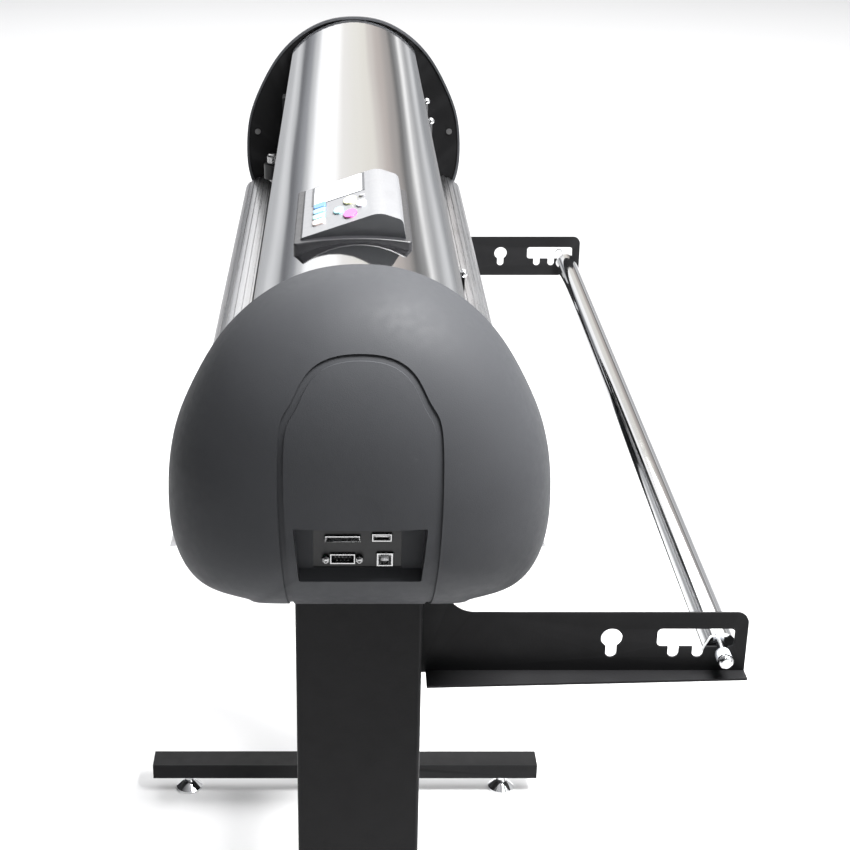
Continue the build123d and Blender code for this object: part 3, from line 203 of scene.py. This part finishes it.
class Shader:
    """One procedural material: a Principled shader and the nodes behind it."""

    def __init__(self, name, **sockets):
        self.material = bpy.data.materials.new(name)
        self.material.use_nodes = True
        self.nodes = self.material.node_tree.nodes
        self.links = self.material.node_tree.links
        self.bsdf = self.nodes["Principled BSDF"]
        coords = self.nodes.new("ShaderNodeTexCoord")
        self.place = coords.outputs["Object"]
        for socket, value in sockets.items():
            self.set(socket.replace("_", " "), value)

    def set(self, socket, value):
        if isinstance(value, tuple) and len(value) == 3:
            value = (*value, 1)
        self.bsdf.inputs[socket].default_value = value

    def stretched(self, scale):
        mapping = self.nodes.new("ShaderNodeMapping")
        mapping.inputs["Scale"].default_value = scale
        self.links.new(self.place, mapping.inputs["Vector"])
        return mapping.outputs["Vector"]

    def noise(self, scale, detail=3.0, roughness=0.5, stretch=None):
        """Noise with scale in features a metre; stretch squeezes each axis."""
        node = self.nodes.new("ShaderNodeTexNoise")
        node.inputs["Scale"].default_value = scale
        node.inputs["Detail"].default_value = detail
        node.inputs["Roughness"].default_value = roughness
        vector = self.stretched(stretch) if stretch else self.place
        self.links.new(vector, node.inputs["Vector"])
        return node.outputs["Fac"]

    def cells(self, scale):
        node = self.nodes.new("ShaderNodeTexVoronoi")
        node.inputs["Scale"].default_value = scale
        self.links.new(self.place, node.inputs["Vector"])
        return node.outputs["Distance"]

    def ramp(self, factor, start, end, low_value, high_value):
        """A number that runs from low to high as the factor goes start to end."""
        node = self.nodes.new("ShaderNodeMapRange")
        node.inputs["From Min"].default_value = start
        node.inputs["From Max"].default_value = end
        node.inputs["To Min"].default_value = low_value
        node.inputs["To Max"].default_value = high_value
        self.links.new(factor, node.inputs["Value"])
        return node.outputs["Result"]

    def mix(self, factor, first, second):
        node = self.nodes.new("ShaderNodeMix")
        node.data_type = "RGBA"
        self.links.new(factor, node.inputs[0])
        for index, colour in ((6, first), (7, second)):
            if isinstance(colour, tuple):
                node.inputs[index].default_value = (*colour, 1)
            else:
                self.links.new(colour, node.inputs[index])
        return node.outputs[2]

    def edge_wear(self, start=0.52, end=0.6):
        """Runs from 0 to 1 where the surface turns outward, as at an edge."""
        geometry = self.nodes.new("ShaderNodeNewGeometry")
        return self.ramp(geometry.outputs["Pointiness"], start, end, 0.0, 1.0)

    def colour(self, output):
        self.links.new(output, self.bsdf.inputs["Base Color"])

    def rough(self, output):
        self.links.new(output, self.bsdf.inputs["Roughness"])

    def bump(self, height, distance, strength=1.0):
        node = self.nodes.new("ShaderNodeBump")
        node.inputs["Distance"].default_value = distance
        node.inputs["Strength"].default_value = strength
        previous = self.bsdf.inputs["Normal"]
        if previous.is_linked:
            self.links.new(previous.links[0].from_socket, node.inputs["Normal"])
        self.links.new(height, node.inputs["Height"])
        self.links.new(node.outputs["Normal"], self.bsdf.inputs["Normal"])


def floor_material():
    shader = Shader("pale_floor", Roughness=0.6)
    soft = shader.noise(0.6, 2.0)
    shader.colour(shader.mix(soft, (0.8, 0.8, 0.805), (0.83, 0.83, 0.83)))
    return shader.material


def cap_plastic():
    """Dark grey moulded plastic with a fine spark-eroded texture."""
    shader = Shader("cap_plastic", Specular_IOR_Level=0.14)
    cloud = shader.noise(9.0, 4.0)
    tone = shader.mix(cloud, (0.038, 0.0392, 0.0425), (0.048, 0.0495, 0.0535))
    scuff = shader.ramp(shader.noise(60.0, 8.0, 0.7), 0.66, 0.8, 0.0, 0.35)
    shader.colour(shader.mix(scuff, tone, (0.075, 0.075, 0.078)))
    shader.rough(shader.ramp(shader.noise(140.0, 4.0), 0.3, 0.7, 0.5, 0.6))
    shader.bump(shader.noise(1500.0, 3.0, 0.6), 0.00012, 0.55)
    shader.bump(shader.cells(900.0), 0.0001, 0.25)
    return shader.material


def powder_coat(dark=0.0045, light=0.0075):
    """Black powder coat: orange peel, faint dust, paler worn edges."""
    shader = Shader("powder_coat", Specular_IOR_Level=0.1)
    cloud = shader.noise(14.0, 5.0)
    tone = shader.mix(cloud, (dark, dark, dark * 1.06), (light, light, light * 1.05))
    dust = shader.ramp(shader.noise(420.0, 6.0, 0.75), 0.68, 0.8, 0.0, 0.45)
    dusty = shader.mix(dust, tone, (0.025, 0.025, 0.025))
    shader.colour(shader.mix(shader.edge_wear(0.54, 0.66), dusty, (0.018, 0.018, 0.019)))
    shader.rough(shader.ramp(shader.noise(55.0, 4.0), 0.3, 0.7, 0.38, 0.52))
    shader.bump(shader.noise(520.0, 3.0, 0.55), 0.00018, 0.5)
    return shader.material


def drawn_metal(name, tone, rough, streak, bump=0.00004, shine=0.35):
    """Metal with fine lines along X, as rolled sheet and extrusions have."""
    shader = Shader(name, Metallic=1.0, Anisotropic=shine)
    wide = shader.noise(1.0, 3.0, 0.6, (0.8, 60.0, 60.0))
    fine = shader.noise(1.0, 6.0, 0.7, (6.0, 900.0, 900.0))
    pale = tuple(min(1.0, c * (1 + streak)) for c in tone)
    deep = tuple(c * (1 - streak) for c in tone)
    shader.colour(shader.mix(wide, deep, pale))
    smudge = shader.noise(18.0, 6.0, 0.65)
    lines = shader.ramp(fine, 0.3, 0.7, rough * 0.75, rough * 1.15)
    blotch = shader.ramp(smudge, 0.4, 0.75, 0.0, rough * 0.08)
    total = shader.nodes.new("ShaderNodeMath")
    total.operation = "ADD"
    shader.links.new(lines, total.inputs[0])
    shader.links.new(blotch, total.inputs[1])
    shader.rough(total.outputs[0])
    shader.bump(fine, bump, 0.35)
    return shader.material


def chrome(tone=0.78, rough=0.05):
    """Bright plate with finger smudges and hairline scratches."""
    shader = Shader("chrome", Metallic=1.0)
    smudge = shader.noise(30.0, 5.0, 0.6)
    shader.colour(shader.mix(smudge, (tone * 0.94, tone * 0.95, tone * 0.97), (tone,) * 3))
    scratch = shader.noise(1.0, 8.0, 0.8, (30.0, 1400.0, 1400.0))
    haze = shader.mix(shader.ramp(scratch, 0.62, 0.7, 0.0, 1.0), (rough,) * 3, (rough * 3.2,) * 3)
    shader.rough(shader.mix(shader.ramp(smudge, 0.5, 0.75, 0.0, 0.6), haze, (rough * 3.0,) * 3))
    return shader.material


def steel(name="steel", tone=0.55, rough=0.28):
    shader = Shader(name, Metallic=1.0)
    grain = shader.noise(700.0, 6.0, 0.7)
    stain = shader.noise(45.0, 4.0)
    shader.colour(shader.mix(stain, (tone * 0.8,) * 3, (tone,) * 3))
    shader.rough(shader.ramp(grain, 0.3, 0.7, rough * 0.7, rough * 1.4))
    shader.bump(grain, 0.00003, 0.5)
    return shader.material


def moulded(name, tone, rough=0.42, grain=0.00006, wear=0.25):
    """Small moulded plastic parts, finely grained with paler edges."""
    shader = Shader(name, Specular_IOR_Level=0.5)
    cloud = shader.noise(40.0, 4.0)
    base = shader.mix(cloud, tuple(c * 0.9 for c in tone), tone)
    pale = tuple(min(1.0, c * (1 + wear) + 0.02 * wear) for c in tone)
    shader.colour(shader.mix(shader.edge_wear(), base, pale))
    shader.rough(shader.ramp(shader.noise(220.0, 4.0), 0.3, 0.7, rough * 0.85, rough * 1.15))
    shader.bump(shader.noise(1300.0, 3.0), grain, 0.6)
    return shader.material


def flake_paint(name, tone):
    """Silver paint on plastic: a fine metal flake under a thin clear coat."""
    shader = Shader(name, Metallic=0.25, Coat_Weight=0.15, Coat_Roughness=0.25)
    flake = shader.noise(2600.0, 2.0, 0.5)
    deep, pale = (tuple(c * part for c in tone) for part in (0.88, 1.12))
    shader.colour(shader.mix(flake, deep, pale))
    shader.rough(shader.ramp(shader.noise(90.0, 4.0), 0.3, 0.7, 0.34, 0.44))
    shader.bump(flake, 0.00001, 0.4)
    return shader.material


def rubber(name="rubber", tone=0.018):
    shader = Shader(name, Specular_IOR_Level=0.35)
    dust = shader.noise(160.0, 6.0, 0.7)
    shader.colour(shader.mix(dust, (tone * 0.8,) * 3, (tone * 1.6,) * 3))
    shader.rough(shader.ramp(dust, 0.3, 0.7, 0.62, 0.8))
    shader.bump(shader.noise(900.0, 4.0), 0.0001, 0.5)
    return shader.material


def circuit_board():
    """Solder mask with copper traces showing through as a raised pattern."""
    shader = Shader("circuit_board", Roughness=0.35)
    brick = shader.nodes.new("ShaderNodeTexBrick")
    brick.inputs["Scale"].default_value = 160.0
    brick.inputs["Mortar Size"].default_value = 0.03
    brick.inputs["Color1"].default_value = (0.01, 0.12, 0.045, 1)
    brick.inputs["Color2"].default_value = (0.012, 0.1, 0.05, 1)
    brick.inputs["Mortar"].default_value = (0.03, 0.26, 0.1, 1)
    turn = shader.nodes.new("ShaderNodeMapping")
    turn.inputs["Rotation"].default_value = (0, math.radians(90), 0)
    shader.links.new(shader.place, turn.inputs["Vector"])
    shader.links.new(turn.outputs["Vector"], brick.inputs["Vector"])
    shader.colour(brick.outputs["Color"])
    shader.bump(brick.outputs["Fac"], 0.00005, 0.5)
    return shader.material


def grit_steel():
    """The feed shaft: ground steel whose surface has a fine grit bite."""
    shader = Shader("grit_steel", Metallic=1.0)
    bite = shader.cells(1700.0)
    shader.colour(shader.mix(shader.noise(60.0, 4.0), (0.32, 0.32, 0.33), (0.45, 0.45, 0.46)))
    shader.rough(shader.ramp(bite, 0.1, 0.6, 0.3, 0.55))
    shader.bump(bite, 0.0002, 0.9)
    return shader.material


def display_glass():
    """A pale liquid crystal display: rows of soft grey bars under a window."""
    shader = Shader("display_glass", Roughness=0.08, Coat_Weight=0.6)
    brick = shader.nodes.new("ShaderNodeTexBrick")
    brick.inputs["Scale"].default_value = 100.0
    brick.inputs["Mortar Size"].default_value = 0.012
    brick.inputs["Color1"].default_value = (0.86, 0.88, 0.9, 1)
    brick.inputs["Color2"].default_value = (0.9, 0.92, 0.93, 1)
    brick.inputs["Mortar"].default_value = (0.78, 0.81, 0.84, 1)
    shader.links.new(shader.place, brick.inputs["Vector"])
    shader.colour(brick.outputs["Color"])
    return shader.material


def make_materials():
    """Every finish by name, made once."""
    return {
        "cap": cap_plastic(),
        "powder": powder_coat(),
        "cover": drawn_metal("polished_cover", (0.86, 0.86, 0.865), 0.07, 0.03, 0.000006, 0.5),
        "extrusion": drawn_metal("satin_extrusion", (0.5, 0.5, 0.51), 0.3, 0.2, 0.00001, 0.3),
        "beam": drawn_metal("beam_extrusion", (0.36, 0.36, 0.37), 0.36, 0.1),
        "chrome": chrome(),
        "steel": steel(),
        "dark_steel": steel("dark_steel", 0.2, 0.4),
        "grit": grit_steel(),
        "rubber": rubber(),
        "belt": rubber("belt_rubber", 0.012),
        "black": moulded("black_plastic", (0.014, 0.014, 0.015)),
        "panel_base": moulded("panel_base_plastic", (0.016, 0.016, 0.018), 0.36),
        "panel": flake_paint("panel_paint", (0.19, 0.192, 0.2)),
        "panel_side": flake_paint("panel_side_paint", (0.055, 0.057, 0.061)),
        # Painted shade: near-black flake paint for the recess round the connectors, standing in
        # for shade in the bay.
        "recess_shade": flake_paint("port_recess_painted_shade", (0.012, 0.012, 0.0125)),
        "board": circuit_board(),
        "display": display_glass(),
        "connector": steel("connector_plate", 0.62, 0.24),
        "contact": steel("contact_gold", 0.5, 0.3),
        "sleeve": moulded("axle_sleeve_plastic", (0.72, 0.74, 0.78), 0.25, 0.00002),
        # Painted highlight: the clip's steel wire is coloured near-white to stand in for the
        # glint along chrome wire.
        "wire_highlight": moulded("wire_painted_highlight", (0.8, 0.8, 0.8), 0.35, 0.00002),
        "pale_plastic": moulded("socket_plastic", (0.7, 0.7, 0.7), 0.4, 0.00002),
    }


# --------------------------------------------------------- CAD node looks

KEY_TONES = {
    "function_key_1": (0.10, 0.22, 0.45), "function_key_2": (0.22, 0.38, 0.56),
    "function_key_3": (0.25, 0.50, 0.47), "function_key_4": (0.58, 0.50, 0.48),
    "arrow_key_left": (0.58, 0.56, 0.34), "arrow_key_right": (0.53, 0.10, 0.34),
    "arrow_key_front": (0.26, 0.51, 0.56), "arrow_key_rear": (0.51, 0.58, 0.59),
    "origin_key": (0.25, 0.25, 0.26),
}


def paint(material, *names):
    for name in names:
        mesh = NODES[name].data
        mesh.materials.clear()
        mesh.materials.append(material)


def paint_sides(material, name):
    """A second finish on the faces that look along the machine or forward."""
    mesh = NODES[name].data
    mesh.materials.append(material)
    ends = (low(name).x, high(name).x)
    front = low(name).y + 2.2 * MM
    for face in mesh.polygons:
        centre = face.center
        at_end = min(abs(centre.x - ends[0]), abs(centre.x - ends[1])) < 0.2 * MM
        if (at_end and abs(face.normal.x) > 0.7) or centre.y < front:
            face.material_index = 1


def paint_recess_shade(material, name, side):
    """Painted shade: a near-black colour on the shallow recess round the connectors, darker than
    the cap, standing in for the shade deep in the bay.
    """
    mesh = NODES[name].data
    mesh.materials.append(material)
    half_y, half_z = 33.2 * MM, 19.2 * MM
    for face in mesh.polygons:
        centre = face.center
        deep = WALL_X - 2.4 * MM < side * centre.x < WALL_X - 0.1 * MM
        inside = abs(centre.y - WINDOW_Y) < half_y and abs(centre.z - WINDOW_Z) < half_z
        if deep and inside:
            face.material_index = 1


def paint_nodes(looks):
    pinch = ("left", "middle", "right")
    paint(looks["cap"], "right_end_cap", "left_end_cap")
    paint(looks["powder"], "right_side_plate", "left_side_plate", "right_leg", "left_leg",
          "stand_crossbar", "right_roll_bracket", "left_roll_bracket")
    paint(looks["cover"], "top_cover")
    paint(looks["extrusion"], "platen", "idler_pulley", "carriage_motor_pulley",
          "feed_motor_pulley")
    paint(looks["beam"], "carriage_beam")
    paint(looks["grit"], "grit_shaft")
    paint(looks["steel"], "shaft_bearings", "blade_holder")
    paint(looks["dark_steel"], "machine_screws")
    paint(looks["rubber"], "cutting_strip", *[f"pinch_wheel_{n}" for n in pinch])
    paint(looks["belt"], "feed_belt", "carriage_belt")
    paint(looks["black"], "carriage", "tool_slide", "clamp_knob", "feed_motor", "carriage_motor",
          "power_inlet", *[f"pinch_block_{n}" for n in pinch])
    paint(looks["dark_steel"], *[f"pinch_arm_{n}" for n in pinch])
    paint(looks["chrome"], "roll_tube", "roll_axle", *[f"pinch_lever_{n}" for n in pinch])
    paint(looks["panel_base"], "panel_base")
    paint(looks["panel"], "panel_housing")
    paint_sides(looks["panel_side"], "panel_housing")
    # Painted shade on the recess round the connectors in both end caps.
    paint_recess_shade(looks["recess_shade"], "right_end_cap", 1)
    paint_recess_shade(looks["recess_shade"], "left_end_cap", -1)
    paint(looks["board"], "mainboard")
    paint(looks["connector"], "port_connectors")
    for name in NODES:
        if name.startswith("levelling_foot"):
            paint(looks["chrome"], name)
    for name, tone in KEY_TONES.items():
        paint(moulded(f"{name}_plastic", tone, 0.22, 0.00001, 0.15), name)
    paint(looks["display"], "display_window")


# ----------------------------------------------------------- added pieces

def keep(name, mesh, material, body="machine"):
    piece = bpy.data.objects.new(name, mesh)
    bpy.context.collection.objects.link(piece)
    mesh.materials.append(material)
    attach(piece, body)
    return piece


def from_bmesh(name, shape, material, body="machine", smooth=True):
    mesh = bpy.data.meshes.new(name)
    shape.to_mesh(mesh)
    shape.free()
    for face in mesh.polygons:
        face.use_smooth = smooth
    return keep(name, mesh, material, body)


def bevelled_box(shape, lowest, highest, bevel):
    """Adds a box with softened edges to a bmesh."""
    span = Vector(highest) - Vector(lowest)
    centre = (Vector(highest) + Vector(lowest)) / 2
    made = bmesh.ops.create_cube(shape, size=1.0)
    bmesh.ops.scale(shape, vec=span, verts=made["verts"])
    bmesh.ops.translate(shape, vec=centre, verts=made["verts"])
    edges = {edge for vert in made["verts"] for edge in vert.link_edges}
    bmesh.ops.bevel(shape, geom=list(edges), offset=bevel, segments=2, affect="EDGES")


def turned(shape, profile, origin, axis, steps=40):
    """Adds a solid turned from (distance along, radius) points about an axis."""
    turn = Vector((0, 0, 1)).rotation_difference(Vector(axis)).to_matrix()
    rings = []
    for along, radius in profile:
        ring = []
        for step in range(steps):
            angle = 2 * math.pi * step / steps
            spot = Vector((radius * math.cos(angle), radius * math.sin(angle), along))
            ring.append(shape.verts.new(Vector(origin) + turn @ spot))
        rings.append(ring)
    for first, second in zip(rings, rings[1:]):
        for step in range(steps):
            after = (step + 1) % steps
            shape.faces.new((first[step], first[after], second[after], second[step]))
    shape.faces.new(list(reversed(rings[0])))
    shape.faces.new(rings[-1])


def wire(name, points, radius, material, body="machine"):
    """A bent wire through the points."""
    curve = bpy.data.curves.new(name, "CURVE")
    curve.dimensions = "3D"
    curve.bevel_depth = radius
    curve.bevel_resolution = 4
    curve.use_fill_caps = True
    spline = curve.splines.new("BEZIER")
    spline.bezier_points.add(len(points) - 1)
    for knot, point in zip(spline.bezier_points, points):
        knot.co = point
        knot.handle_left_type = knot.handle_right_type = "AUTO"
    holder = bpy.data.objects.new(name, curve)
    mesh = bpy.data.meshes.new_from_object(holder)
    mesh.name = name
    bpy.data.objects.remove(holder)
    return keep(name, mesh, material, body)


def add_roll_ends(looks):
    """A clear sleeve, a ball end and a wire clip on each end of the axle."""
    axle = middle("roll_axle")
    radius = size("roll_axle").z / 2
    outer = 1.36 * radius
    gap, web, clear = 6 * MM, 2 * MM, 1.5 * MM
    web_x = high("roll_tube").x + gap + web
    reach = high("roll_axle").x - web_x - clear
    for name, side in (("right", 1), ("left", -1)):
        start = (side * (web_x + clear), axle.y, axle.z)
        sleeve = bmesh.new()
        turned(sleeve, [(0, outer - 1 * MM), (0.6 * MM, outer), (0.55 * reach, outer),
                        (0.6 * reach, outer - 0.7 * MM)], start, (side, 0, 0))
        from_bmesh(f"{name}_axle_sleeve", sleeve, looks["sleeve"], "roll")
        knob = bmesh.new()
        cup = [(0.6 * reach, outer - 1.2 * MM), (0.64 * reach, outer), (0.82 * reach, outer),
               (0.93 * reach, 0.82 * outer), (reach - 0.2 * MM, 0.5 * outer),
               (reach - 0.2 * MM, 0.36 * outer), (reach - 1.6 * MM, 0.3 * outer)]
        turned(knob, cup, start, (side, 0, 0))
        from_bmesh(f"{name}_axle_end", knob, looks["chrome"], "roll")
        clip_x = side * (web_x + 3.5 * MM)
        bends = ((-1 * MM, outer), (-9 * MM, 18 * MM), (-15 * MM, 11 * MM), (-18 * MM, 4 * MM))
        points = [(clip_x, axle.y + back, axle.z + up) for back, up in bends]
        # Painted highlight: the clip is near-white to stand in for the glint along its chrome
        # wire.
        wire(f"{name}_wire_clip", points, 0.9 * MM, looks["wire_highlight"], "machine")


def add_connector_detail(looks):
    """Serial pins and screws, tongues in the sockets and a card slot lip."""
    face_x = high("port_connectors").x
    centre = Vector((face_x, WINDOW_Y, WINDOW_Z))
    serial = centre + SERIAL_PORT * MM
    insert = bmesh.new()
    bevelled_box(insert, serial + Vector((-7.5, -8.0, -2.9)) * MM,
                 serial + Vector((-3.0, 8.0, 2.9)) * MM, 0.6 * MM)
    from_bmesh("serial_insert", insert, looks["black"])
    pins = bmesh.new()
    for row, count in ((1.4, 5), (-1.4, 4)):
        for index in range(count):
            y = (index - (count - 1) / 2) * PIN_PITCH
            base = serial + Vector((-3.2, y, row)) * MM
            turned(pins, [(0, 0.5 * MM), (2.2 * MM, 0.5 * MM), (2.8 * MM, 0.2 * MM)], base,
                   (1, 0, 0), 10)
    from_bmesh("serial_pins", pins, looks["contact"])
    nuts = bmesh.new()
    for side in (-1, 1):
        base = serial + Vector((0.0, SERIAL_HALF_PITCH * side, 0)) * MM
        turned(nuts, [(0, 3.0 * MM), (1.6 * MM, 3.0 * MM), (2.0 * MM, 2.6 * MM)], base,
               (1, 0, 0), 6)
        turned(nuts, [(0.5 * MM, 2.0 * MM), (3.4 * MM, 2.0 * MM), (3.8 * MM, 1.6 * MM),
                      (3.8 * MM, 1.1 * MM), (2.4 * MM, 1.0 * MM)], base, (1, 0, 0), 20)
    from_bmesh("serial_screws", nuts, looks["connector"], smooth=False)
    tongues = bmesh.new()
    usb = centre + USB_A_PORT * MM
    bevelled_box(tongues, usb + Vector((-7.5, -5.6, 0.2)) * MM,
                 usb + Vector((-1.0, 5.6, 1.7)) * MM, 0.2 * MM)
    square = centre + USB_B_PORT * MM
    bevelled_box(tongues, square + Vector((-7.5, -2.8, -1.6)) * MM,
                 square + Vector((-1.0, 2.8, 1.6)) * MM, 0.3 * MM)
    from_bmesh("socket_tongues", tongues, looks["pale_plastic"])
    lip = bmesh.new()
    card = centre + CARD_SLOT * MM
    bevelled_box(lip, card + Vector((-0.4, -12.6, -2.3)) * MM,
                 card + Vector((1.2, 12.6, -1.4)) * MM, 0.3 * MM)
    for side in (-1, 1):
        near, far = sorted((12.6 * side, 13.4 * side))
        bevelled_box(lip, card + Vector((-0.4, near, -2.3)) * MM,
                     card + Vector((1.2, far, 0.8)) * MM, 0.25 * MM)
    from_bmesh("card_slot_lip", lip, looks["connector"])


def add_foot_plugs(looks):
    """Moulded plugs that close the ends of the foot bars."""
    for side in ("right", "left"):
        leg = f"{side}_leg"
        foot = middle(f"levelling_foot_{side}_front").x
        top = low(leg).z + 25 * MM
        for end, y in (("front", low(leg).y), ("rear", high(leg).y)):
            inward = 1 if end == "front" else -1
            plug = bmesh.new()
            ys = sorted((y + inward * 0.1 * MM, y + inward * 14 * MM))
            bevelled_box(plug, (foot - 17.6 * MM, ys[0], top - 22.6 * MM),
                         (foot + 17.6 * MM, ys[1], top - 2.4 * MM), 0.8 * MM)
            from_bmesh(f"{side}_foot_plug_{end}", plug, looks["black"])


def add_display_frame(looks):
    """A thin raised frame round the display window, lying on the slope."""
    rise, run, length, proud = 21.2, 62.5, 42 * MM, 0.35 * MM
    slope = math.atan2(rise, run)
    up_slope = Vector((0, math.cos(slope), math.sin(slope)))
    out = Vector((0, -math.sin(slope), math.cos(slope)))
    centre = middle("display_window") + out * proud
    half_x = size("display_window").x / 2 + 1.2 * MM
    half_y = length / math.cos(slope) / 2 + 1.2 * MM
    corners = [(-half_x, -half_y), (half_x, -half_y), (half_x, half_y), (-half_x, half_y)]
    frame_mesh = bmesh.new()
    band = 1.6 * MM
    rims = []
    for grow, lift in ((0.0, 0.0), (0.0, 0.5 * MM), (-band, 0.5 * MM), (-band, 0.0)):
        ring = []
        for x, y in corners:
            dx = math.copysign(abs(x) + grow, x)
            dy = math.copysign(abs(y) + grow, y)
            spot = centre + Vector((dx, 0, 0)) + up_slope * dy + out * lift
            ring.append(frame_mesh.verts.new(spot))
        rims.append(ring)
    for index in range(len(rims)):
        first, second = rims[index], rims[(index + 1) % len(rims)]
        for step in range(4):
            after = (step + 1) % 4
            frame_mesh.faces.new((first[step], first[after], second[after], second[step]))
    from_bmesh("display_frame", frame_mesh, looks["panel_side"], smooth=False)


# --------------------------------------------------------------- main run

make_camera()
make_stage()
LOOKS = make_materials()
paint_nodes(LOOKS)
add_roll_ends(LOOKS)
add_connector_detail(LOOKS)
add_foot_plugs(LOOKS)
add_display_frame(LOOKS)
